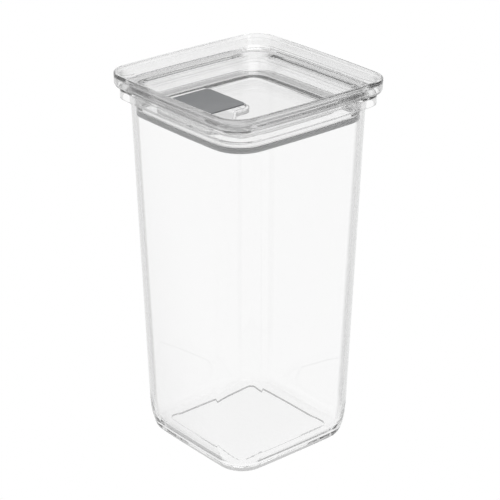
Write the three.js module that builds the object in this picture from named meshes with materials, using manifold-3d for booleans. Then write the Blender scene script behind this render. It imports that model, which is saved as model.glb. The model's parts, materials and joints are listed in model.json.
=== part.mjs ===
// Lidded canister with a push-in sealing lid and a flip-up vent lever. Millimetres, +Z up.
// The origin is the centre of the underside; the four sides face +X, +Y, -X and -Y.
import * as THREE from 'three';
import { mergeVertices } from 'three/addons/utils/BufferGeometryUtils.js';
import Module from 'manifold-3d';

const wasm = await Module();
wasm.setup();

// ---- driving dimensions -------------------------------------------------------------------
const GAP = 0.3;                 // clearance between pieces that touch on the real object

// vessel
const WALL_HALF_BASE = 46.2;     // half-width of the outer wall carried down to the base plane
const WALL_DRAFT = 0.0263;       // growth of the half-width per millimetre of height
const WALL = 2.3;                // wall thickness
const WALL_CORNER = 19;          // corner radius of the outer wall
const SIDE_BOW = 1200;           // radius of the slight outward bow of each side
const BASE_ROUND_H = 20;         // height of the rounding between the side and the base
const BASE_ROUND_W = 4.5;        // width of that rounding
const FOOT_INNER = 33.6;         // half-width where the flat foot meets the raised panel
const PANEL_RISE = 1.4;          // height of the raised panel in the underside
const PANEL_CORNER = 4.4;        // corner radius of that panel
const FLOOR_TOP = 3.7;           // inside floor height
const COLLAR_HALF = 54;          // half-width of the turned-down collar round the mouth
const COLLAR_CORNER = 12;
const COLLAR_SKIN = 1.3;         // thickness of the collar's outer skin
const COLLAR_BOTTOM = 204;
const COLLAR_UNDER = 208.6;      // underside of the web between the wall and the collar's skin
const MOUTH_TOP = 210.5;         // rim of the vessel

// lid
const RIM_HALF = 57;             // half-width of the lid's rim
const RIM_CORNER = 14;
const LID_BOW = 1000;            // bow radius of the lid's sides
const RIM_TOP = 218.8;
const RIM_BOTTOM = 211;          // lower edge of the rim's outer wall
const RIM_ROUND = 2.2;           // rounding of that lower edge
const RIM_LIP = 0.9;             // rounding of the rim's upper edge
const LID_WALL = 1.8;            // thickness of the lid's walls
const SEAT_HALF = 50.6;          // half-width of the shoulder that sits on the vessel's mouth
const DISH_FLOOR = 200.6;        // top of the recessed floor
const DISH_FLOOR_HALF = 34.7;
const DISH_FLOOR_CORNER = 6.5;
const GROOVE_HALF = 45;          // half-width at the bottom of the gasket groove
const BEAD_HALF = 45.7;          // half-width of the bead that keeps the gasket on
const SKIRT_OUTER = 48.6;        // half-width of the skirt above the gasket
const SKIRT_CORNER = 16.2;
const SKIRT_BOTTOM = 196.4;
const GROOVE_TOP = 199.2;
const GASKET_HALF = 48.75;       // half-width of the gasket's sealing lip
const GASKET_BOTTOM = 196;

// lever, its pocket, its pin and the vent
const POCKET_WALL = 1.6;
const POCKET_FLOOR = 197.3;
const POCKET_UNDER = 195.9;
const POCKET_LOW = -34.5;        // the pocket's sides towards -X and -Y
const POCKET_FREE = 1.6;         // the pocket's side at the lever's free edge
const POCKET_FAR = 0.4;          // the pocket's side towards +Y
const SCOOP_OUT = 12.5;          // how far the finger scoop reaches past the free edge
const SCOOP_MID = -21.5;
const SCOOP_START = -11;
const LEVER_TOP = 202;
const LEVER_PLATE = 1.8;
const LEVER_BACK = -33.2;
const LEVER_FRONT = 0;           // free edge
const LEVER_NEAR = -33.6;        // side towards -Y
const LEVER_FAR = -1;            // side towards +Y
const LEVER_EDGE = 0.35;         // chamfer round the lever
const HINGE_X = -31.4;
const HINGE_Z = 199.9;
const PIN_R = 0.6;
const BORE_R = PIN_R + GAP;
const BARREL_R = 1.6;
const LUG_R = 1.35;
const LUG_W = 2;
const LUG_Y = [-29.9, -4.5];
const VENT_X = -14;
const VENT_Y = -17;
const VENT_R = 3.3;
const PLUG_STEM_R = 1.5;
const PLUG_STEM_TOP = 201;

const CORNER_STEPS = 6;
const SIDE_STEPS = 2;            // steps in half of one bowed side

// ---- outlines and lofts -------------------------------------------------------------------

// A square with bowed sides and round corners: half-width a, corner radius r, side radius bow.
function squareOutline(a, r, bow) {
  const k = a - bow;
  const c = (k + Math.sqrt(2 * (bow - r) ** 2 - k * k)) / 2;
  const turn = Math.atan2(c, c - k);
  const quarter = [];
  for (let i = 0; i < SIDE_STEPS; i++) {
    const t = (turn * i) / SIDE_STEPS;
    quarter.push(new THREE.Vector2(k + bow * Math.cos(t), bow * Math.sin(t)));
  }
  for (let i = 0; i <= CORNER_STEPS; i++) {
    const t = turn + ((Math.PI / 2 - 2 * turn) * i) / CORNER_STEPS;
    quarter.push(new THREE.Vector2(c + r * Math.cos(t), c + r * Math.sin(t)));
  }
  for (let i = SIDE_STEPS - 1; i > 0; i--) {
    const t = (turn * i) / SIDE_STEPS;
    quarter.push(new THREE.Vector2(bow * Math.sin(t), k + bow * Math.cos(t)));
  }
  const origin = new THREE.Vector2();
  const outline = [];
  for (let q = 0; q < 4; q++) {
    for (const p of quarter) outline.push(p.clone().rotateAround(origin, (q * Math.PI) / 2));
  }
  return outline;
}

// One closed skin through a list of sections [half-width, corner radius, height], in order from
// the bottom outwards, up and back in. A closed loop makes a ring; otherwise both ends are
// closed by a fan round the axis.
function loft(sections, bow, closedLoop = false) {
  const positions = [];
  const rings = sections.map(([a, r, z]) => {
    const first = positions.length / 3;
    const outline = squareOutline(a, r, bow);
    for (const p of outline) positions.push(p.x, p.y, z);
    return { first, count: outline.length, z };
  });
  const n = rings[0].count;
  const index = [];
  const last = closedLoop ? rings.length : rings.length - 1;
  for (let i = 0; i < last; i++) {
    const lower = rings[i].first;
    const upper = rings[(i + 1) % rings.length].first;
    for (let j = 0; j < n; j++) {
      const k = (j + 1) % n;
      index.push(lower + j, lower + k, upper + k);
      index.push(lower + j, upper + k, upper + j);
    }
  }
  if (!closedLoop) {
    for (const [ring, flip] of [[rings[0], true], [rings.at(-1), false]]) {
      const centre = positions.length / 3;
      positions.push(0, 0, ring.z);
      for (let j = 0; j < n; j++) {
        const p = ring.first + j;
        const q = ring.first + ((j + 1) % n);
        index.push(centre, flip ? q : p, flip ? p : q);
      }
    }
  }
  const geometry = new THREE.BufferGeometry();
  geometry.setAttribute('position', new THREE.Float32BufferAttribute(positions, 3));
  geometry.setIndex(index);
  return geometry;
}

// A shape with straight sides and one round per corner; corners are [x, y, radius], anticlockwise.
function roundedShape(corners) {
  const shape = new THREE.Shape();
  corners.forEach(([x, y, radius], i) => {
    const corner = new THREE.Vector2(x, y);
    const [px, py] = corners.at(i - 1);
    const [nx, ny] = corners[(i + 1) % corners.length];
    const back = new THREE.Vector2(px - x, py - y).normalize();
    const on = new THREE.Vector2(nx - x, ny - y).normalize();
    const half = Math.acos(back.dot(on)) / 2;
    const reach = radius / Math.tan(half);
    const start = corner.clone().addScaledVector(back, reach);
    const end = corner.clone().addScaledVector(on, reach);
    const middle = back.clone().add(on).normalize();
    const centre = corner.clone().addScaledVector(middle, radius / Math.sin(half));
    const leftTurn = back.cross(on) < 0;
    const from = start.clone().sub(centre).angle();
    const to = end.clone().sub(centre).angle();
    if (i === 0) shape.moveTo(start.x, start.y);
    else shape.lineTo(start.x, start.y);
    shape.absarc(centre.x, centre.y, radius, from, to, !leftTurn);
  });
  shape.closePath();
  return shape;
}

function slab(shape, bottom, top, bevel = 0) {
  const geometry = new THREE.ExtrudeGeometry(shape, {
    depth: top - bottom - 2 * bevel,
    bevelEnabled: bevel > 0,
    bevelSize: bevel,
    bevelOffset: -bevel,
    bevelThickness: bevel,
    bevelSegments: 1,
    curveSegments: 5,
  });
  return geometry.translate(0, 0, bottom + bevel);
}

// A round bar along Y between two ends.
function barAlongY(radius, x, z, from, to, sides = 20) {
  const geometry = new THREE.CylinderGeometry(radius, radius, to - from, sides);
  return geometry.translate(x, (from + to) / 2, z);
}

// ---- joining and cutting ------------------------------------------------------------------

function toSolid(geometry) {
  const bare = geometry.clone();
  bare.deleteAttribute('normal');
  bare.deleteAttribute('uv');
  const merged = mergeVertices(bare, 1e-4);
  return new wasm.Manifold(new wasm.Mesh({
    numProp: 3,
    vertProperties: new Float32Array(merged.attributes.position.array),
    triVerts: new Uint32Array(merged.index.array),
  }));
}

function toGeometry(solid) {
  const mesh = solid.getMesh();
  const geometry = new THREE.BufferGeometry();
  geometry.setAttribute('position', new THREE.Float32BufferAttribute(mesh.vertProperties, 3));
  geometry.setIndex(new THREE.Uint32BufferAttribute(mesh.triVerts, 1));
  return geometry;
}

const joined = (base, pieces) => pieces.reduce((sum, piece) => sum.add(toSolid(piece)), base);
const cut = (base, tools) => tools.reduce((rest, tool) => rest.subtract(toSolid(tool)), base);

// ---- vessel -------------------------------------------------------------------------------

const wallHalf = (z) => WALL_HALF_BASE + WALL_DRAFT * z;

// Inset of the side where it rounds into the base, as a quarter of an ellipse.
const baseInset = (z, h, w) => (z >= h ? 0 : w * (1 - Math.sqrt(1 - (1 - z / h) ** 2)));

function vesselSections() {
  const outer = [0, 0.5, 2, 5, 10, BASE_ROUND_H, COLLAR_UNDER - 0.5].map((z) => {
    const inset = baseInset(z, BASE_ROUND_H, BASE_ROUND_W);
    return [wallHalf(z) - inset, WALL_CORNER - inset, z];
  });
  const inner = [MOUTH_TOP - 0.8, 22, 13, 8, 5, FLOOR_TOP].map((z) => {
    const inset = WALL + baseInset(z - FLOOR_TOP, BASE_ROUND_H - 1.4, BASE_ROUND_W);
    return [wallHalf(z) - inset, WALL_CORNER - inset, z];
  });
  const neck = wallHalf(COLLAR_UNDER);
  const skin = COLLAR_HALF - COLLAR_SKIN;
  const skinCorner = COLLAR_CORNER - COLLAR_SKIN;
  const collar = [
    [neck + 0.3, WALL_CORNER - 0.3, COLLAR_UNDER],
    [skin - 0.3, skinCorner, COLLAR_UNDER],
    [skin, skinCorner, COLLAR_UNDER - 0.5],
    [skin, skinCorner, COLLAR_BOTTOM + 0.4],
    [skin + 0.4, skinCorner + 0.4, COLLAR_BOTTOM],
    [COLLAR_HALF - 0.4, COLLAR_CORNER - 0.4, COLLAR_BOTTOM],
    [COLLAR_HALF, COLLAR_CORNER, COLLAR_BOTTOM + 0.5],
    [COLLAR_HALF, COLLAR_CORNER, MOUTH_TOP - 0.8],
    [COLLAR_HALF - 0.8, COLLAR_CORNER - 0.8, MOUTH_TOP],
    [wallHalf(MOUTH_TOP) - WALL + 0.5, WALL_CORNER - WALL + 0.5, MOUTH_TOP],
  ];
  return [
    [FOOT_INNER - 0.6, PANEL_CORNER, PANEL_RISE],
    [FOOT_INNER, PANEL_CORNER + 0.6, 0],
    ...outer,
    ...collar,
    ...inner,
  ];
}

// ---- lid ----------------------------------------------------------------------------------

// Points of a round between two directions about a centre in the section plane.
function roundSections(half, corner, z, radius, fromDeg, toDeg, steps) {
  const sections = [];
  for (let i = 0; i <= steps; i++) {
    const t = THREE.MathUtils.degToRad(fromDeg + ((toDeg - fromDeg) * i) / steps);
    const out = radius * Math.cos(t);
    sections.push([half + out, corner + out, z + radius * Math.sin(t)]);
  }
  return sections;
}

function lidSections() {
  const plateUnder = DISH_FLOOR - LID_WALL;
  const lipHalf = RIM_HALF - RIM_LIP;
  const roundHalf = RIM_HALF - RIM_ROUND;
  const roundHeight = RIM_BOTTOM + RIM_ROUND;
  const rimInner = RIM_HALF - LID_WALL;
  const rimInnerCorner = RIM_CORNER - LID_WALL;
  const skirtInner = SKIRT_OUTER - LID_WALL;
  const skirtInnerCorner = SKIRT_CORNER - LID_WALL;
  const grooveInner = GROOVE_HALF - LID_WALL;
  const seatHeight = MOUTH_TOP + GAP;
  const grooveCorner = SKIRT_CORNER - SKIRT_OUTER + GROOVE_HALF;
  return [
    // under the recessed floor and out along the dish
    [DISH_FLOOR_HALF + 1, DISH_FLOOR_CORNER + 0.7, plateUnder],
    [42.4, 8.8, 206.7],
    [45, 10.5, 208.6],
    // inside and round the bottom of the skirt, past the gasket groove
    [skirtInner, skirtInnerCorner, 209.4],
    [skirtInner, skirtInnerCorner, GROOVE_TOP + 2.8],
    [grooveInner, grooveCorner - LID_WALL, GROOVE_TOP + 1.4],
    [grooveInner, grooveCorner - LID_WALL, SKIRT_BOTTOM],
    [BEAD_HALF, grooveCorner + 0.7, SKIRT_BOTTOM],
    [BEAD_HALF, grooveCorner + 0.7, SKIRT_BOTTOM + 0.5],
    [GROOVE_HALF, grooveCorner, SKIRT_BOTTOM + 0.9],
    [GROOVE_HALF, grooveCorner, GROOVE_TOP],
    [SKIRT_OUTER - 0.4, SKIRT_CORNER - 0.4, GROOVE_TOP],
    [SKIRT_OUTER, SKIRT_CORNER, GROOVE_TOP + 0.4],
    [SKIRT_OUTER, SKIRT_CORNER, seatHeight],
    // the shoulder on the mouth, then the channel inside the rim
    [SEAT_HALF, SKIRT_CORNER, seatHeight],
    [SEAT_HALF + 0.3, 11.6, 213],
    [53.1, 11.2, 214.8],
    [rimInner - 0.4, rimInnerCorner, 216.6],
    [rimInner, rimInnerCorner, 216.2],
    [rimInner, rimInnerCorner, RIM_BOTTOM + 0.5],
    // the rim outside, over its lip and down the dish
    ...roundSections(roundHalf, RIM_CORNER - RIM_ROUND, roundHeight, RIM_ROUND, 290, 360, 3),
    ...roundSections(lipHalf, RIM_CORNER - RIM_LIP, RIM_TOP - RIM_LIP, RIM_LIP, 0, 90, 3),
    [54.6, 12.2, 218.1],
    [52, 11.1, 216.2],
    [49.7, 10, 214.6],
    [47.5, 9, 212.5],
    [44.2, 8.5, 210.3],
    [41.2, 8, 208.1],
    [40.4, 7.8, 207.2],
    [35.4, 6.8, 201.2],
    [DISH_FLOOR_HALF, DISH_FLOOR_CORNER, DISH_FLOOR],
  ];
}

// The pocket under the lever with its finger scoop, grown outwards by a wall thickness.
function pocketShape(grow) {
  const low = POCKET_LOW - grow;
  const diagonal = grow * Math.tan(Math.PI / 8);
  return roundedShape([
    [low, low, DISH_FLOOR_CORNER + grow],
    [SCOOP_OUT + grow, low, 4 + grow],
    [SCOOP_OUT + grow, SCOOP_MID + diagonal, 3 + grow],
    [POCKET_FREE + grow, SCOOP_START + diagonal, 4 - grow],
    [POCKET_FREE + grow, POCKET_FAR + grow, 5 + grow],
    [low, POCKET_FAR + grow, 2.5 + grow],
  ]);
}

function lidSolid() {
  let lid = toSolid(loft(lidSections(), LID_BOW));
  const well = toSolid(slab(pocketShape(POCKET_WALL), POCKET_UNDER, DISH_FLOOR - 0.2));
  lid = lid.add(well);
  const vent = new THREE.CylinderGeometry(VENT_R, VENT_R, 4, 24).rotateX(Math.PI / 2);
  vent.translate(VENT_X, VENT_Y, POCKET_FLOOR - 1);
  lid = cut(lid, [slab(pocketShape(0), POCKET_FLOOR, LEVER_TOP + 4), vent]);
  for (const y of LUG_Y) {
    const from = y - LUG_W / 2;
    const to = y + LUG_W / 2;
    const base = new THREE.BoxGeometry(LUG_R, LUG_W, HINGE_Z - POCKET_FLOOR + 0.2);
    base.translate(HINGE_X + LUG_R / 2, y, (HINGE_Z + POCKET_FLOOR - 0.2) / 2);
    lid = joined(lid, [base, barAlongY(LUG_R, HINGE_X, HINGE_Z, from, to)]);
    lid = cut(lid, [barAlongY(BORE_R, HINGE_X, HINGE_Z, from - 0.2, to + 0.2)]);
  }
  return toGeometry(lid);
}

function gasketSections() {
  const lip = GASKET_HALF;
  const inner = GROOVE_HALF + GAP;
  const under = BEAD_HALF + GAP;
  const top = GROOVE_TOP - GAP;
  const offset = SKIRT_CORNER - SKIRT_OUTER;
  const section = [
    [under, GASKET_BOTTOM],
    [lip - 0.5, GASKET_BOTTOM],
    [lip, GASKET_BOTTOM + 0.5],
    [lip, GASKET_BOTTOM + 1.4],
    [lip - 0.5, GASKET_BOTTOM + 2.1],
    [lip - 0.5, top],
    [inner, top],
    [inner, SKIRT_BOTTOM + 1.2],
    [under, SKIRT_BOTTOM + 0.8],
  ];
  return section.map(([half, z]) => [half, half + offset, z]);
}

// ---- lever, pin and plug ------------------------------------------------------------------

function leverSolid() {
  const outline = roundedShape([
    [LEVER_BACK, LEVER_NEAR, 8],
    [LEVER_FRONT, LEVER_NEAR, 2.6],
    [LEVER_FRONT, LEVER_FAR, 2.6],
    [LEVER_BACK, LEVER_FAR, 3.6],
  ]);
  let lever = toSolid(slab(outline, LEVER_TOP - LEVER_PLATE, LEVER_TOP, LEVER_EDGE));
  lever = joined(lever, [barAlongY(BARREL_R, HINGE_X, HINGE_Z, LEVER_NEAR + 3, LEVER_FAR - 1)]);
  const stem = new THREE.CylinderGeometry(PLUG_STEM_R + GAP, PLUG_STEM_R + GAP, 2, 20);
  stem.rotateX(Math.PI / 2).translate(VENT_X, VENT_Y, PLUG_STEM_TOP + GAP - 1);
  const notches = LUG_Y.map((y) => {
    const side = LUG_W / 2 + GAP;
    return barAlongY(BARREL_R + 0.1, HINGE_X, HINGE_Z, y - side, y + side, 24);
  });
  const bore = barAlongY(BORE_R, HINGE_X, HINGE_Z, LEVER_NEAR - 1, LEVER_FAR + 1);
  return toGeometry(cut(lever, [stem, bore, ...notches]));
}

// Stem up into the lever, flange under it, tapered nose down into the vent.
function plugGeometry() {
  const leverUnder = LEVER_TOP - LEVER_PLATE;
  const profile = [
    [0, POCKET_UNDER + 0.2],
    [2, POCKET_UNDER + 0.2],
    [2.5, POCKET_UNDER + 0.7],
    [VENT_R - 0.4, POCKET_FLOOR + GAP],
    [5, POCKET_FLOOR + GAP],
    [5.4, POCKET_FLOOR + 0.8],
    [5.4, leverUnder - 0.7],
    [5, leverUnder - GAP],
    [PLUG_STEM_R, leverUnder - GAP],
    [PLUG_STEM_R, PLUG_STEM_TOP],
    [0, PLUG_STEM_TOP],
  ].map(([r, z]) => new THREE.Vector2(r, z));
  const geometry = new THREE.LatheGeometry(profile, 24);
  return geometry.rotateX(Math.PI / 2).translate(VENT_X, VENT_Y, 0);
}

// ---- the object ---------------------------------------------------------------------------

const finishes = {
  vessel: { color: 0xf2f5f5, roughness: 0.04, metalness: 0, transparent: true, opacity: 0.35 },
  lid: { color: 0xeef1f1, roughness: 0.05, metalness: 0, transparent: true, opacity: 0.4 },
  gasket: { color: 0xb4b6b7, roughness: 0.5, metalness: 0 },
  lever: { color: 0x88898b, roughness: 0.4, metalness: 0 },
  pin: { color: 0xc9cbcc, roughness: 0.3, metalness: 1 },
  plug: { color: 0xb4b6b7, roughness: 0.55, metalness: 0 },
};

function named(name, geometry, finish) {
  const mesh = new THREE.Mesh(geometry, new THREE.MeshStandardMaterial(finish));
  mesh.name = name;
  return mesh;
}

const canister = new THREE.Group();
canister.add(named('canister_body', loft(vesselSections(), SIDE_BOW), finishes.vessel));

const lidGroup = new THREE.Group();
const pin = barAlongY(PIN_R, HINGE_X, HINGE_Z, LEVER_NEAR + 2.6, LEVER_FAR - 0.6, 16);
lidGroup.add(named('lid_shell', lidSolid(), finishes.lid));
lidGroup.add(named('lid_gasket', loft(gasketSections(), LID_BOW, true), finishes.gasket));
lidGroup.add(named('lever_hinge_pin', pin, finishes.pin));

const leverGroup = new THREE.Group();
leverGroup.add(named('vent_lever', leverSolid(), finishes.lever));
leverGroup.add(named('vent_plug', plugGeometry(), finishes.plug));

lidGroup.add(leverGroup);
canister.add(lidGroup);

export default canister;
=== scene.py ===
import json
import math

import bmesh
import bpy
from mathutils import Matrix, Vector


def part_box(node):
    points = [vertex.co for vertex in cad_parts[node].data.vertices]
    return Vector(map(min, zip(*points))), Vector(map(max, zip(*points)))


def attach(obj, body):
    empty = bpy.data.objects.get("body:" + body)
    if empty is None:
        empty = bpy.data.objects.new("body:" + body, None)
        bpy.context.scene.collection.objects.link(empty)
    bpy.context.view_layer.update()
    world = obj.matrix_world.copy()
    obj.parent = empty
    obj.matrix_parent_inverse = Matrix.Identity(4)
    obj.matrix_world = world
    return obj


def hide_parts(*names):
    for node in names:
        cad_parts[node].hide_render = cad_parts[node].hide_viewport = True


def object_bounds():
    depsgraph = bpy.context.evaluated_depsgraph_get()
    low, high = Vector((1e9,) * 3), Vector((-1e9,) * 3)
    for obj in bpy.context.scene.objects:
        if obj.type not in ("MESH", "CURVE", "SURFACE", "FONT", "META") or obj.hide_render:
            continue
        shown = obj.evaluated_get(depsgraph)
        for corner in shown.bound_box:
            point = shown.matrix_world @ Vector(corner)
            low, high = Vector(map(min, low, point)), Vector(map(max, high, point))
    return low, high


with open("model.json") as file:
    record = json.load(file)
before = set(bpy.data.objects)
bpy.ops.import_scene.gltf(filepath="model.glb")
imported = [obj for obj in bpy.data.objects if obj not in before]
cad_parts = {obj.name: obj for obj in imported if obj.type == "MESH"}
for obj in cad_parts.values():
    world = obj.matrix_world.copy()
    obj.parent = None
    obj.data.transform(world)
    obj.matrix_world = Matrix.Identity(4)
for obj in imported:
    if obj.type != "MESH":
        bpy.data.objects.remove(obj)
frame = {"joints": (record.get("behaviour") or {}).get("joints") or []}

# A clear lidded canister: vessel, push-in lid, grey gasket, and a flip-up vent lever in the lid.
# Lengths in the tables of sections are millimetres, and become metres when a mesh is made.

CAD_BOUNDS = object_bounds()
MM = 0.001


def in_mm(node):
    low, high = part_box(node)
    return [c / MM for c in low], [c / MM for c in high]


_, BODY_HIGH = in_mm("canister_body")
LID_LOW, LID_HIGH = in_mm("lid_shell")
GASKET_LOW, GASKET_HIGH = in_mm("lid_gasket")
LEVER_LOW, LEVER_HIGH = in_mm("vent_lever")
PIN_LOW, PIN_HIGH = in_mm("lever_hinge_pin")
PLUG_LOW, PLUG_HIGH = in_mm("vent_plug")
JOINTS = {joint["name"]: joint for joint in frame["joints"]}
HINGE_X, _, HINGE_Z = [c / MM for c in JOINTS["lever_flip"]["pos_m"]]

# ---- driving dimensions, mm ---------------------------------------------------------------
GAP = 0.3
WALL_HALF_BASE = 46.2
WALL_DRAFT = 0.0263
WALL = 2.3
WALL_CORNER = 19
SIDE_BOW = 1200
BASE_ROUND_H = 20
BASE_ROUND_W = 4.5
FOOT_INNER = 33.6
PANEL_CORNER = 4.4
PANEL_RISE = 1.4
FLOOR_TOP = 3.7
COLLAR_HALF = BODY_HIGH[0]
COLLAR_CORNER = 12
COLLAR_SKIN = 1.3
COLLAR_BOTTOM = 204
COLLAR_UNDER = 208.6
MOUTH_TOP = BODY_HIGH[2]

LID_BOW = 1000
RIM_HALF = LID_HIGH[0]
RIM_TOP = LID_HIGH[2]
RIM_CORNER = 14
RIM_BOTTOM = 211
LID_WALL = 1.8
SEAT_HALF = 50.6
DISH_FLOOR = 200.6
DISH_FLOOR_HALF = 34.7
DISH_FLOOR_CORNER = 6.5
GROOVE_HALF = 45
BEAD_HALF = 45.7
SKIRT_OUTER = 48.6
SKIRT_CORNER = 16.2
SKIRT_BOTTOM = 196.4
GROOVE_TOP = 199.2
GASKET_HALF = GASKET_HIGH[0]
GASKET_BOTTOM = GASKET_LOW[2]

POCKET_WALL = 1.6
POCKET_FLOOR = 197.3
POCKET_UNDER = LID_LOW[2]
POCKET_LOW = -34.5
POCKET_FREE = 1.6
POCKET_FAR = 0.4
SCOOP_OUT = 12.5
SCOOP_MID = -21.5
SCOOP_START = -11
LEVER_PLATE = 1.8
LEVER_TOP = LEVER_HIGH[2]
PIN_R = (PIN_HIGH[0] - PIN_LOW[0]) / 2
BORE_R = PIN_R + GAP
BARREL_R = 1.6
LUG_R = 1.35
LUG_W = 2
LUG_Y = (-29.9, -4.5)
VENT_X = (PLUG_LOW[0] + PLUG_HIGH[0]) / 2
VENT_Y = (PLUG_LOW[1] + PLUG_HIGH[1]) / 2
VENT_R = 3.3
PLUG_STEM_R = 1.5

CORNER_STEPS = 28
SIDE_STEPS = 8
FILLET_STEPS = 5

# ---- camera -------------------------------------------------------------------------------
CAMERA_AZIMUTH = 49.93
CAMERA_ELEVATION = 24.29
CAMERA_DISTANCE = 1.0315
CAMERA_AIM = 0.5196              # height looked at, as a share of the object's height
CAMERA_LENS = 130.98
CAMERA_SHIFT = 0.00458


def make_camera():
    height = CAD_BOUNDS[1][2]
    aim = Vector((0, 0, CAMERA_AIM * height))
    azimuth = math.radians(CAMERA_AZIMUTH)
    elevation = math.radians(CAMERA_ELEVATION)
    away = Vector((math.sin(azimuth) * math.cos(elevation),
                   -math.cos(azimuth) * math.cos(elevation),
                   math.sin(elevation)))
    camera = bpy.data.objects.new("camera", bpy.data.cameras.new("camera"))
    camera.location = aim + away * CAMERA_DISTANCE
    camera.rotation_euler = (-away).to_track_quat("-Z", "Y").to_euler()
    camera.data.lens = CAMERA_LENS
    camera.data.sensor_width = 36
    camera.data.shift_x = CAMERA_SHIFT
    camera.data.clip_start = 0.01
    bpy.context.scene.collection.objects.link(camera)
    bpy.context.scene.camera = camera


make_camera()

# ---- outlines -----------------------------------------------------------------------------


def square_outline(a, r, bow):
    """A square with bowed sides and round corners: half-width a, corner radius r."""
    k = a - bow
    c = (k + math.sqrt(2 * (bow - r) ** 2 - k * k)) / 2
    turn = math.atan2(c, c - k)
    quarter = []
    for i in range(SIDE_STEPS):
        t = turn * i / SIDE_STEPS
        quarter.append((k + bow * math.cos(t), bow * math.sin(t)))
    for i in range(CORNER_STEPS + 1):
        t = turn + (math.pi / 2 - 2 * turn) * i / CORNER_STEPS
        quarter.append((c + r * math.cos(t), c + r * math.sin(t)))
    for i in range(SIDE_STEPS - 1, 0, -1):
        t = turn * i / SIDE_STEPS
        quarter.append((bow * math.sin(t), k + bow * math.cos(t)))
    points = []
    for _ in range(4):
        points += quarter
        quarter = [(-y, x) for x, y in quarter]
    return points


def grown(corners, grow):
    """Corners (x, y, radius), anticlockwise, with every side moved outwards by grow."""
    moved = []
    for i, (x, y, radius) in enumerate(corners):
        here = Vector((x, y))
        arrive = (here - Vector(corners[i - 1][:2])).normalized()
        leave = (Vector(corners[(i + 1) % len(corners)][:2]) - here).normalized()
        normals = Vector((arrive.y, -arrive.x)), Vector((leave.y, -leave.x))
        shift = (normals[0] + normals[1]) / (1 + normals[0].dot(normals[1]))
        convex = arrive.cross(leave) > 0
        spot = here + shift * grow
        moved.append((spot.x, spot.y, radius + grow if convex else radius - grow))
    return moved


def corner_outline(corners, steps=10):
    """Points round a shape with straight sides and one round at each corner."""
    points = []
    for i, (x, y, radius) in enumerate(corners):
        here = Vector((x, y))
        back = (Vector(corners[i - 1][:2]) - here).normalized()
        on = (Vector(corners[(i + 1) % len(corners)][:2]) - here).normalized()
        half = back.angle(on) / 2
        middle = here + (back + on).normalized() * (radius / math.sin(half))
        start = here + back * (radius / math.tan(half)) - middle
        end = here + on * (radius / math.tan(half)) - middle
        sweep = start.angle_signed(end)
        first = math.atan2(start.y, start.x)
        for k in range(steps + 1):
            t = first - sweep * k / steps
            points.append((middle.x + radius * math.cos(t), middle.y + radius * math.sin(t)))
    return points


def softened(section, closed=False, steps=FILLET_STEPS):
    """Section points [..., z, fillet] with each corner rounded and the straights kept straight."""
    soft = []
    count = len(section)
    for i, (*spot, fillet) in enumerate(section):
        here = Vector(spot)
        if fillet == 0 or (not closed and i in (0, count - 1)):
            soft.append(here)
            continue
        back = Vector(section[i - 1][:-1]) - here
        on = Vector(section[(i + 1) % count][:-1]) - here
        back_length = math.hypot(back[0], back[-1])
        on_length = math.hypot(on[0], on[-1])
        back /= back_length
        on /= on_length
        cosine = max(-1, min(1, back[0] * on[0] + back[-1] * on[-1]))
        reach = min(fillet / math.tan(math.acos(cosine) / 2), 0.49 * back_length, 0.49 * on_length)
        for k in range(steps + 1):
            t = k / steps
            soft.append(here + back * reach * (1 - t) ** 2 + on * reach * t ** 2)
    held = []
    for i, here in enumerate(soft):
        held.append(here)
        if i == len(soft) - 1 and not closed:
            break
        step = soft[(i + 1) % len(soft)] - here
        length = math.hypot(step[0], step[-1])
        if length > 1.2:
            held += [here + step * (0.3 / length), here + step * (1 - 0.3 / length)]
    return held


# ---- meshes -------------------------------------------------------------------------------


def finish_mesh(name, verts, faces):
    mesh = bpy.data.meshes.new(name)
    mesh.from_pydata([(x * MM, y * MM, z * MM) for x, y, z in verts], [], faces)
    bm = bmesh.new()
    bm.from_mesh(mesh)
    bmesh.ops.remove_doubles(bm, verts=bm.verts, dist=1e-7)
    bmesh.ops.recalc_face_normals(bm, faces=bm.faces)
    bm.to_mesh(mesh)
    bm.free()
    mesh.polygons.foreach_set("use_smooth", [True] * len(mesh.polygons))
    made = bpy.data.objects.new(name, mesh)
    bpy.context.scene.collection.objects.link(made)
    return made


def skin(name, rings, closed=False):
    """A closed body through rings of equally many points, capped flat unless it is a ring."""
    count = len(rings[0])
    verts = [spot for ring in rings for spot in ring]
    faces = []
    for i in range(len(rings) if closed else len(rings) - 1):
        low = i * count
        high = ((i + 1) % len(rings)) * count
        for j in range(count):
            k = (j + 1) % count
            faces.append((low + j, low + k, high + k, high + j))
    if not closed:
        faces.append(tuple(reversed(range(count))))
        faces.append(tuple(range(len(verts) - count, len(verts))))
    return finish_mesh(name, verts, faces)


def square_skin(name, section, bow, closed=False):
    rings = []
    for a, r, z in softened(section, closed):
        rings.append([(x, y, z) for x, y in square_outline(a, r, bow)])
    return skin(name, rings, closed)


def round_skin(name, section, x, y, along="Z", sides=64):
    """A turned body: section of (radius, height, fillet) about an axis through (x, y or z)."""
    rings = []
    for radius, height in softened(section):
        ring = []
        for i in range(sides):
            t = 2 * math.pi * i / sides
            across = radius * math.cos(t), radius * math.sin(t)
            if along == "Z":
                ring.append((x + across[0], y + across[1], height))
            else:
                ring.append((x - across[0], height, y + across[1]))
        rings.append(ring)
    return skin(name, rings)


def combine(made, other, operation):
    """Joins or cuts with another body, which is used up."""
    modifier = made.modifiers.new("combine", "BOOLEAN")
    modifier.operation = operation
    modifier.solver = "MANIFOLD"
    modifier.object = other
    depsgraph = bpy.context.evaluated_depsgraph_get()
    mesh = bpy.data.meshes.new_from_object(made.evaluated_get(depsgraph))
    made.modifiers.clear()
    old = made.data
    made.data = mesh
    bpy.data.meshes.remove(old)
    bpy.data.objects.remove(other)
    return made


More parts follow.
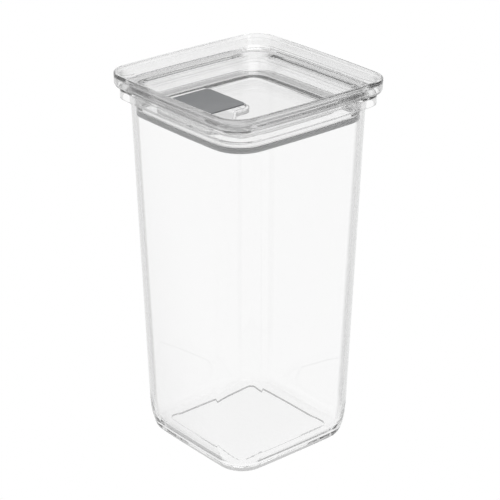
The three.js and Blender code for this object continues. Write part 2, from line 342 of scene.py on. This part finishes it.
def crisp(made, angle=32):
    """Smooth shading that stays flat on flat faces and breaks at sharp edges."""
    mesh = made.data
    mesh.polygons.foreach_set("use_smooth", [True] * len(mesh.polygons))
    mesh.set_sharp_from_angle(angle=math.radians(angle))
    modifier = made.modifiers.new("flat faces", "WEIGHTED_NORMAL")
    modifier.keep_sharp = True
    modifier.weight = 80
    return made


# ---- vessel -------------------------------------------------------------------------------


def wall_half(z):
    return WALL_HALF_BASE + WALL_DRAFT * z


def base_inset(z, height, width):
    if z >= height:
        return 0
    return width * (1 - math.sqrt(max(0, 1 - (1 - z / height) ** 2)))


def base_heights(height, steps):
    """Heights up the base rounding, close together where it turns fastest."""
    return [height * (1 - math.cos(math.pi / 2 * i / steps)) for i in range(steps + 1)]


def make_vessel():
    section = [
        (FOOT_INNER - 0.15, PANEL_CORNER, PANEL_RISE, 0.12),
        (FOOT_INNER, PANEL_CORNER + 0.15, 0, 0.12),
    ]
    for z in base_heights(BASE_ROUND_H, 18):
        inset = base_inset(z, BASE_ROUND_H, BASE_ROUND_W)
        section.append((wall_half(z) - inset, WALL_CORNER - inset, z, 0))
    for i in range(1, 12):
        z = BASE_ROUND_H + (COLLAR_UNDER - 2 - BASE_ROUND_H) * i / 11
        section.append((wall_half(z), WALL_CORNER, z, 0))
    skin_half = COLLAR_HALF - COLLAR_SKIN
    skin_corner = COLLAR_CORNER - COLLAR_SKIN
    section += [
        (wall_half(COLLAR_UNDER), WALL_CORNER, COLLAR_UNDER, 0.5),
        (skin_half, skin_corner, COLLAR_UNDER, 0.5),
        (skin_half, skin_corner, COLLAR_BOTTOM, 0.5),
        (COLLAR_HALF, COLLAR_CORNER, COLLAR_BOTTOM, 0.6),
        (COLLAR_HALF, COLLAR_CORNER, MOUTH_TOP, 0.8),
        (wall_half(MOUTH_TOP) - WALL, WALL_CORNER - WALL, MOUTH_TOP, 0.7),
    ]
    inner_round = BASE_ROUND_H - 1.6
    for i in range(11, 0, -1):
        z = FLOOR_TOP + inner_round + (MOUTH_TOP - 2 - FLOOR_TOP - inner_round) * i / 11
        section.append((wall_half(z) - WALL, WALL_CORNER - WALL, z, 0))
    for up in reversed(base_heights(inner_round, 18)):
        inset = WALL + base_inset(up, inner_round, BASE_ROUND_W)
        section.append((wall_half(FLOOR_TOP + up) - inset, WALL_CORNER - inset, FLOOR_TOP + up, 0))
    vessel = square_skin("vessel", section, SIDE_BOW)
    return crisp(vessel, 50)


# ---- lid ----------------------------------------------------------------------------------


def pocket_corners():
    return [
        (POCKET_LOW, POCKET_LOW, DISH_FLOOR_CORNER),
        (SCOOP_OUT, POCKET_LOW, 4),
        (SCOOP_OUT, SCOOP_MID, 3),
        (POCKET_FREE, SCOOP_START, 4),
        (POCKET_FREE, POCKET_FAR, 5),
        (POCKET_LOW, POCKET_FAR, 2.5),
    ]


def stack(name, corners, levels):
    """A body through the same corners grown by each level's (grow, z, fillet)."""
    rings = []
    for grow, z in softened(levels):
        rings.append([(x, y, z) for x, y in corner_outline(grown(corners, grow))])
    return skin(name, rings)


def bar_along_y(name, radius, start, end, soft=0.0):
    middle = radius * 0.2
    section = [(middle, start, 0), (radius, start, soft), (radius, end, soft), (middle, end, 0)]
    return round_skin(name, section, HINGE_X, HINGE_Z, along="Y", sides=48)


def make_lid():
    plate_under = DISH_FLOOR - LID_WALL
    rim_inner = RIM_HALF - LID_WALL
    rim_inner_corner = RIM_CORNER - LID_WALL
    skirt_inner = SKIRT_OUTER - LID_WALL
    groove_inner = GROOVE_HALF - LID_WALL
    groove_corner = SKIRT_CORNER - SKIRT_OUTER + GROOVE_HALF
    seat = MOUTH_TOP + GAP
    section = [
        (DISH_FLOOR_HALF - 3, DISH_FLOOR_CORNER - 1, plate_under, 0),
        (DISH_FLOOR_HALF - 0.4, DISH_FLOOR_CORNER, plate_under, 2.2),
        (42.4, 8.8, 206.7, 1.5),
        (45, 10.5, 208.6, 1),
        (skirt_inner, SKIRT_CORNER - LID_WALL, 209.4, 0.5),
        (skirt_inner, SKIRT_CORNER - LID_WALL, GROOVE_TOP + 2.8, 1.2),
        (groove_inner, groove_corner - LID_WALL, GROOVE_TOP + 1.4, 1),
        (groove_inner, groove_corner - LID_WALL, SKIRT_BOTTOM, 0.3),
        (BEAD_HALF, groove_corner + 0.7, SKIRT_BOTTOM, 0.25),
        (BEAD_HALF, groove_corner + 0.7, SKIRT_BOTTOM + 0.5, 0.2),
        (GROOVE_HALF, groove_corner, SKIRT_BOTTOM + 0.9, 0.2),
        (GROOVE_HALF, groove_corner, GROOVE_TOP, 0.2),
        (SKIRT_OUTER, SKIRT_CORNER, GROOVE_TOP, 0.4),
        (SKIRT_OUTER, SKIRT_CORNER, seat, 0.3),
        (SEAT_HALF, SKIRT_CORNER, seat, 0.5),
        (SEAT_HALF + 0.3, 11.6, 213, 0.8),
        (53.1, 11.2, 214.8, 2),
        (rim_inner, rim_inner_corner, 216.7, 0.8),
        (rim_inner, rim_inner_corner, RIM_BOTTOM + 0.15, 0.15),
        (rim_inner + 0.5, rim_inner_corner + 0.3, RIM_BOTTOM, 0.2),
        (RIM_HALF - 0.8, RIM_CORNER - 0.8, RIM_BOTTOM + 0.2, 0.5),
        (RIM_HALF - 0.1, RIM_CORNER - 0.1, RIM_BOTTOM + 1.6, 0.8),
        (RIM_HALF, RIM_CORNER, RIM_BOTTOM + 3.2, 0.5),
        (RIM_HALF, RIM_CORNER, RIM_TOP, 0.8),
        (55.4, 12.4, 218.7, 0.8),
        (52, 11.1, 216.2, 3),
        (49.7, 10, 214.6, 1.0),
        (47.5, 9, 212.5, 1.0),
        (44.2, 8.5, 210.3, 1),
        (41.2, 8, 208.1, 0.3),
        (DISH_FLOOR_HALF, DISH_FLOOR_CORNER, DISH_FLOOR, 0.35),
        (DISH_FLOOR_HALF - 2, DISH_FLOOR_CORNER - 1, DISH_FLOOR, 0),
    ]
    lid = square_skin("lid", section, LID_BOW)
    well_top = DISH_FLOOR - 0.3
    well = [(-1, POCKET_UNDER, 0), (0, POCKET_UNDER, 0.6), (0, well_top, 0), (-1, well_top, 0)]
    combine(lid, stack("well", grown(pocket_corners(), POCKET_WALL), well), "UNION")
    hollow = [
        (-2, POCKET_FLOOR, 0),
        (0, POCKET_FLOOR, 0.8),
        (0, DISH_FLOOR, 0.3),
        (0.9, DISH_FLOOR + 0.05, 0.1),
        (1.2, DISH_FLOOR + 3, 0),
        (0, DISH_FLOOR + 3, 0),
    ]
    combine(lid, stack("hollow", pocket_corners(), hollow), "DIFFERENCE")
    vent = [
        (VENT_R * 0.5, POCKET_UNDER - 1, 0),
        (VENT_R, POCKET_UNDER - 1, 0),
        (VENT_R, POCKET_FLOOR - 0.05, 0.3),
        (VENT_R + 0.4, POCKET_FLOOR + 0.5, 0),
        (VENT_R * 0.5, POCKET_FLOOR + 0.5, 0),
    ]
    combine(lid, round_skin("vent", vent, VENT_X, VENT_Y), "DIFFERENCE")
    for y in LUG_Y:
        low, high = y - LUG_W / 2, y + LUG_W / 2
        foot = stack("lug foot", [
            (HINGE_X, low, 0.02), (HINGE_X + LUG_R, low, 0.02),
            (HINGE_X + LUG_R, high, 0.02), (HINGE_X, high, 0.02),
        ], [(0, POCKET_FLOOR - 0.2, 0), (0, HINGE_Z, 0)])
        combine(lid, foot, "UNION")
        combine(lid, bar_along_y("lug", LUG_R, low, high), "UNION")
        combine(lid, bar_along_y("bore", BORE_R, low - 0.2, high + 0.2), "DIFFERENCE")
    return crisp(lid, 32)


def make_gasket():
    corner_offset = SKIRT_CORNER - SKIRT_OUTER
    outer = GASKET_HALF
    inner = GROOVE_HALF + GAP
    under = BEAD_HALF + GAP
    top = GROOVE_TOP - GAP
    section = [
        (under, GASKET_BOTTOM, 0.3),
        (outer - 0.2, GASKET_BOTTOM, 0.4),
        (outer, GASKET_BOTTOM + 0.6, 0.4),
        (outer, GASKET_BOTTOM + 1.4, 0.4),
        (outer - 0.5, GASKET_BOTTOM + 2.1, 0.3),
        (outer - 0.5, top, 0.4),
        (inner, top, 0.2),
        (inner, SKIRT_BOTTOM + 1.2, 0.2),
        (under, SKIRT_BOTTOM + 0.8, 0.2),
    ]
    full = [(a, a + corner_offset, z, fillet) for a, z, fillet in section]
    return crisp(square_skin("gasket", full, LID_BOW, closed=True), 50)


# ---- lever, pin and plug ------------------------------------------------------------------


def lever_corners():
    back, front = LEVER_LOW[0], LEVER_HIGH[0]
    near, far = LEVER_LOW[1], LEVER_HIGH[1]
    return [(back, near, 8), (front, near, 2.6), (front, far, 2.6), (back, far, 3.6)]


def make_lever():
    corners = lever_corners()
    under = LEVER_TOP - LEVER_PLATE
    centre = Vector(((LEVER_LOW[0] + LEVER_HIGH[0]) / 2, (LEVER_LOW[1] + LEVER_HIGH[1]) / 2))
    levels = [(-2.5, under, 0), (-2.2, under, 0.15), (0, LEVER_TOP - 0.7, 0.1),
              (0, LEVER_TOP, 0.3), (-1.6, LEVER_TOP, 0)]
    rings = []
    for grow, z in softened(levels):
        rings.append([(x, y, z) for x, y in corner_outline(grown(corners, grow))])
    last = rings[-1]
    for i in range(1, 15):
        share = 1 - i / 15
        dip = 0.45 * (1 - share ** 2) ** 2
        rings.append([
            (centre.x + (x - centre.x) * share, centre.y + (y - centre.y) * share, LEVER_TOP - dip)
            for x, y, _ in last
        ])
    lever = skin("lever", rings)
    near, far = LEVER_LOW[1], LEVER_HIGH[1]
    combine(lever, bar_along_y("barrel", BARREL_R, near + 3, far - 1, 0.2), "UNION")
    stem = [(0.3, under - 1, 0), (PLUG_STEM_R + GAP, under - 1, 0),
            (PLUG_STEM_R + GAP, under + 1.1, 0.2), (0.3, under + 1.1, 0)]
    combine(lever, round_skin("stem hole", stem, VENT_X, VENT_Y), "DIFFERENCE")
    combine(lever, bar_along_y("bore", BORE_R, near - 1, far + 1), "DIFFERENCE")
    for y in LUG_Y:
        side = LUG_W / 2 + GAP
        combine(lever, bar_along_y("notch", BARREL_R + 0.1, y - side, y + side), "DIFFERENCE")
    return crisp(lever, 35)


def make_pin():
    section = [(0.1, PIN_LOW[1], 0), (PIN_R, PIN_LOW[1], 0.25),
               (PIN_R, PIN_HIGH[1], 0.25), (0.1, PIN_HIGH[1], 0)]
    return crisp(round_skin("pin", section, HINGE_X, HINGE_Z, along="Y", sides=48), 60)


def make_plug():
    under = LEVER_TOP - LEVER_PLATE
    section = [
        (0.2, PLUG_LOW[2], 0),
        (2.1, PLUG_LOW[2], 0.4),
        (VENT_R - 0.4, POCKET_FLOOR + GAP, 0.3),
        (5.4, POCKET_FLOOR + GAP, 0.5),
        (5.4, under - GAP, 0.6),
        (PLUG_STEM_R, under - GAP, 0.2),
        (PLUG_STEM_R, PLUG_HIGH[2], 0.3),
        (0.2, PLUG_HIGH[2], 0),
    ]
    return crisp(round_skin("plug", section, VENT_X, VENT_Y), 50)


# ---- materials ----------------------------------------------------------------------------
EDGE_SHADE_FULL = 0.62                # Layer Weight's facing where the painted edge shade is complete
# tone of the painted shade on the base panel's upright step
PAINTED_STEP_SHADE = 0.32
STEP_BELOW = 0.0015              # the base panel's step lies below this height, in metres


def new_material(name):
    material = bpy.data.materials.new(name)
    material.use_nodes = True
    nodes = material.node_tree.nodes
    return material, nodes, material.node_tree.links, nodes["Principled BSDF"]


def feed(links, value, socket):
    """Links a socket to another, or sets a plain number on it."""
    if isinstance(value, bpy.types.NodeSocket):
        links.new(value, socket)
    else:
        socket.default_value = value


def ranged(nodes, links, source, start, end, low=0.0, high=1.0, interpolation="LINEAR"):
    node = nodes.new("ShaderNodeMapRange")
    node.interpolation_type = interpolation
    node.inputs["From Min"].default_value = start
    node.inputs["From Max"].default_value = end
    node.inputs["To Min"].default_value = low
    node.inputs["To Max"].default_value = high
    links.new(source, node.inputs["Value"])
    return node.outputs["Result"]


def calculated(nodes, links, operation, first, second=0.0):
    node = nodes.new("ShaderNodeMath")
    node.operation = operation
    feed(links, first, node.inputs[0])
    feed(links, second, node.inputs[1])
    return node.outputs["Value"]


def grey(tone):
    return tone, tone, tone, 1


def mixed(nodes, links, amount, first, second):
    node = nodes.new("ShaderNodeMix")
    node.data_type = "RGBA"
    links.new(amount, node.inputs[0])
    feed(links, first, node.inputs[6])
    feed(links, second, node.inputs[7])
    return node.outputs[2]


def height_of(nodes, links, source):
    split = nodes.new("ShaderNodeSeparateXYZ")
    links.new(source, split.inputs["Vector"])
    return split.outputs["Z"]


def clear_material(name, face, painted_edge_shade, edge_shade_from, ior, density, roughness, step_height=0):
    """Clear material with painted shade: darker at a slant, and on upright faces lower than
    step_height.
    """
    material, nodes, links, shader = new_material(name)
    shader.inputs["Transmission Weight"].default_value = 1
    shader.inputs["IOR"].default_value = ior
    coordinates = nodes.new("ShaderNodeTexCoord")
    slant = nodes.new("ShaderNodeLayerWeight")
    slant.inputs["Blend"].default_value = 0.5
    z = height_of(nodes, links, coordinates.outputs["Object"])
    normal_z = height_of(nodes, links, coordinates.outputs["Normal"])
    level = calculated(nodes, links, "ABSOLUTE", normal_z)

    # painted shade on slanting surfaces, standing in for the dark surroundings seen at the glass's
    # edges; not on level ones, and less so towards the base
    grazing_shade = ranged(nodes, links, slant.outputs["Facing"], edge_shade_from, EDGE_SHADE_FULL,
                     interpolation="SMOOTHSTEP")
    tilted = ranged(nodes, links, level, 0.96, 0.6)
    above_base = ranged(nodes, links, z, 0, BASE_ROUND_H * MM, low=0.15)
    share = calculated(nodes, links, "MULTIPLY", above_base, tilted)
    amount = calculated(nodes, links, "MULTIPLY", grazing_shade, share)
    tone = mixed(nodes, links, amount, grey(face), grey(painted_edge_shade))

    # painted shade on the upright step round the panel in the base: a dark line put where refraction
    # shows one
    low = calculated(nodes, links, "LESS_THAN", z, step_height)
    steep = ranged(nodes, links, level, 0.45, 0.2)
    riser_shade = calculated(nodes, links, "MULTIPLY", low, steep)
    tone = mixed(nodes, links, riser_shade, tone, grey(PAINTED_STEP_SHADE))
    links.new(tone, shader.inputs["Base Color"])

    haze = nodes.new("ShaderNodeTexNoise")
    haze.inputs["Scale"].default_value = 60
    haze.inputs["Detail"].default_value = 4
    links.new(coordinates.outputs["Object"], haze.inputs["Vector"])
    spread = ranged(nodes, links, haze.outputs["Fac"], 0, 1, roughness * 0.4, roughness * 1.6)
    links.new(spread, shader.inputs["Roughness"])

    absorb = nodes.new("ShaderNodeVolumeAbsorption")
    absorb.inputs["Color"].default_value = grey(0.94)
    absorb.inputs["Density"].default_value = density
    links.new(absorb.outputs["Volume"], nodes["Material Output"].inputs["Volume"])
    return material


def solid_material(name, color, roughness, grain, depth, metallic=0.0):
    material, nodes, links, shader = new_material(name)
    shader.inputs["Metallic"].default_value = metallic
    coordinates = nodes.new("ShaderNodeTexCoord")
    noise = nodes.new("ShaderNodeTexNoise")
    noise.inputs["Scale"].default_value = grain
    noise.inputs["Detail"].default_value = 6
    links.new(coordinates.outputs["Object"], noise.inputs["Vector"])
    ramp = nodes.new("ShaderNodeValToRGB")
    ramp.color_ramp.elements[0].color = (*[c * 0.93 for c in color], 1)
    ramp.color_ramp.elements[1].color = (*[c * 1.07 for c in color], 1)
    links.new(noise.outputs["Fac"], ramp.inputs["Fac"])
    links.new(ramp.outputs["Color"], shader.inputs["Base Color"])
    spread = ranged(nodes, links, noise.outputs["Fac"], 0, 1, roughness * 0.85, roughness * 1.15)
    links.new(spread, shader.inputs["Roughness"])
    bump = nodes.new("ShaderNodeBump")
    bump.inputs["Strength"].default_value = 0.3
    bump.inputs["Distance"].default_value = depth
    links.new(noise.outputs["Fac"], bump.inputs["Height"])
    links.new(bump.outputs["Normal"], shader.inputs["Normal"])
    return material


# For each clear material: its own tint face on, then the tone of the painted edge shade at a slant,
# then the facing where that painted shade starts.
CLEAR_VESSEL = clear_material("clear vessel", 0.974, 0.5, 0.44, 1.5, 12, 0.01, step_height=STEP_BELOW)
CLEAR_LID = clear_material("clear lid", 0.975, 0.38, 0.3, 1.49, 150, 0.01)
GASKET_GREY = solid_material("gasket silicone", (0.48, 0.485, 0.49), 0.4, 900, 0.00002)
LEVER_GREY = solid_material("lever plastic", (0.2, 0.205, 0.213), 0.35, 1600, 0.00001)
PIN_STEEL = solid_material("pin steel", (0.6, 0.6, 0.61), 0.3, 500, 0.00001, metallic=1.0)
PLUG_GREY = solid_material("plug silicone", (0.42, 0.43, 0.44), 0.45, 900, 0.00002)


def settle(made, body, node, material):
    made.data.materials.clear()
    made.data.materials.append(material)
    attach(made, body)
    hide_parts(node)


settle(make_vessel(), "vessel", "canister_body", CLEAR_VESSEL)
settle(make_lid(), "lid", "lid_shell", CLEAR_LID)
settle(make_gasket(), "lid", "lid_gasket", GASKET_GREY)
settle(make_pin(), "lid", "lever_hinge_pin", PIN_STEEL)
settle(make_lever(), "lever", "vent_lever", LEVER_GREY)
settle(make_plug(), "lever", "vent_plug", PLUG_GREY)

# ---- floor and light ----------------------------------------------------------------------


def make_floor():
    mesh = bpy.data.meshes.new("floor")
    reach = 12
    mesh.from_pydata([(-reach, -reach, -0.0003), (reach, -reach, -0.0003),
                      (reach, reach, -0.0003), (-reach, reach, -0.0003)], [], [(0, 1, 2, 3)])
    floor = bpy.data.objects.new("floor", mesh)
    bpy.context.scene.collection.objects.link(floor)
    material = bpy.data.materials.new("floor")
    material.use_nodes = True
    nodes = material.node_tree.nodes
    nodes.clear()
    glow = nodes.new("ShaderNodeEmission")
    glow.inputs["Strength"].default_value = 1.0
    output = nodes.new("ShaderNodeOutputMaterial")
    material.node_tree.links.new(glow.outputs["Emission"], output.inputs["Surface"])
    mesh.materials.append(material)


def make_world():
    world = bpy.data.worlds.new("studio")
    world.use_nodes = True
    nodes, links = world.node_tree.nodes, world.node_tree.links
    background = nodes["Background"]
    coordinates = nodes.new("ShaderNodeTexCoord")
    split = nodes.new("ShaderNodeSeparateXYZ")
    links.new(coordinates.outputs["Generated"], split.inputs["Vector"])
    ramp = nodes.new("ShaderNodeValToRGB")
    ramp.color_ramp.elements[0].position = 0.10
    ramp.color_ramp.elements[0].color = (1, 1, 1, 1)
    ramp.color_ramp.elements[1].position = 0.35
    ramp.color_ramp.elements[1].color = (0.7, 0.7, 0.7, 1)
    links.new(split.outputs["Z"], ramp.inputs["Fac"])
    links.new(ramp.outputs["Color"], background.inputs["Color"])
    bpy.context.scene.world = world


def make_light(name, location, size, power):
    light = bpy.data.lights.new(name, "AREA")
    light.shape = "RECTANGLE"
    light.size = size[0]
    light.size_y = size[1]
    light.energy = power
    lamp = bpy.data.objects.new(name, light)
    lamp.location = location
    lamp.rotation_euler = (-Vector(location)).to_track_quat("-Z", "Y").to_euler()
    bpy.context.scene.collection.objects.link(lamp)


make_floor()
make_world()
make_light("top softbox", (0.5, -0.1, 1.5), (1.4, 1.4), 8)
bpy.context.scene.view_settings.view_transform = "Standard"
bpy.context.scene.cycles.max_bounces = 160
bpy.context.scene.cycles.transmission_bounces = 64
bpy.context.scene.cycles.glossy_bounces = 128
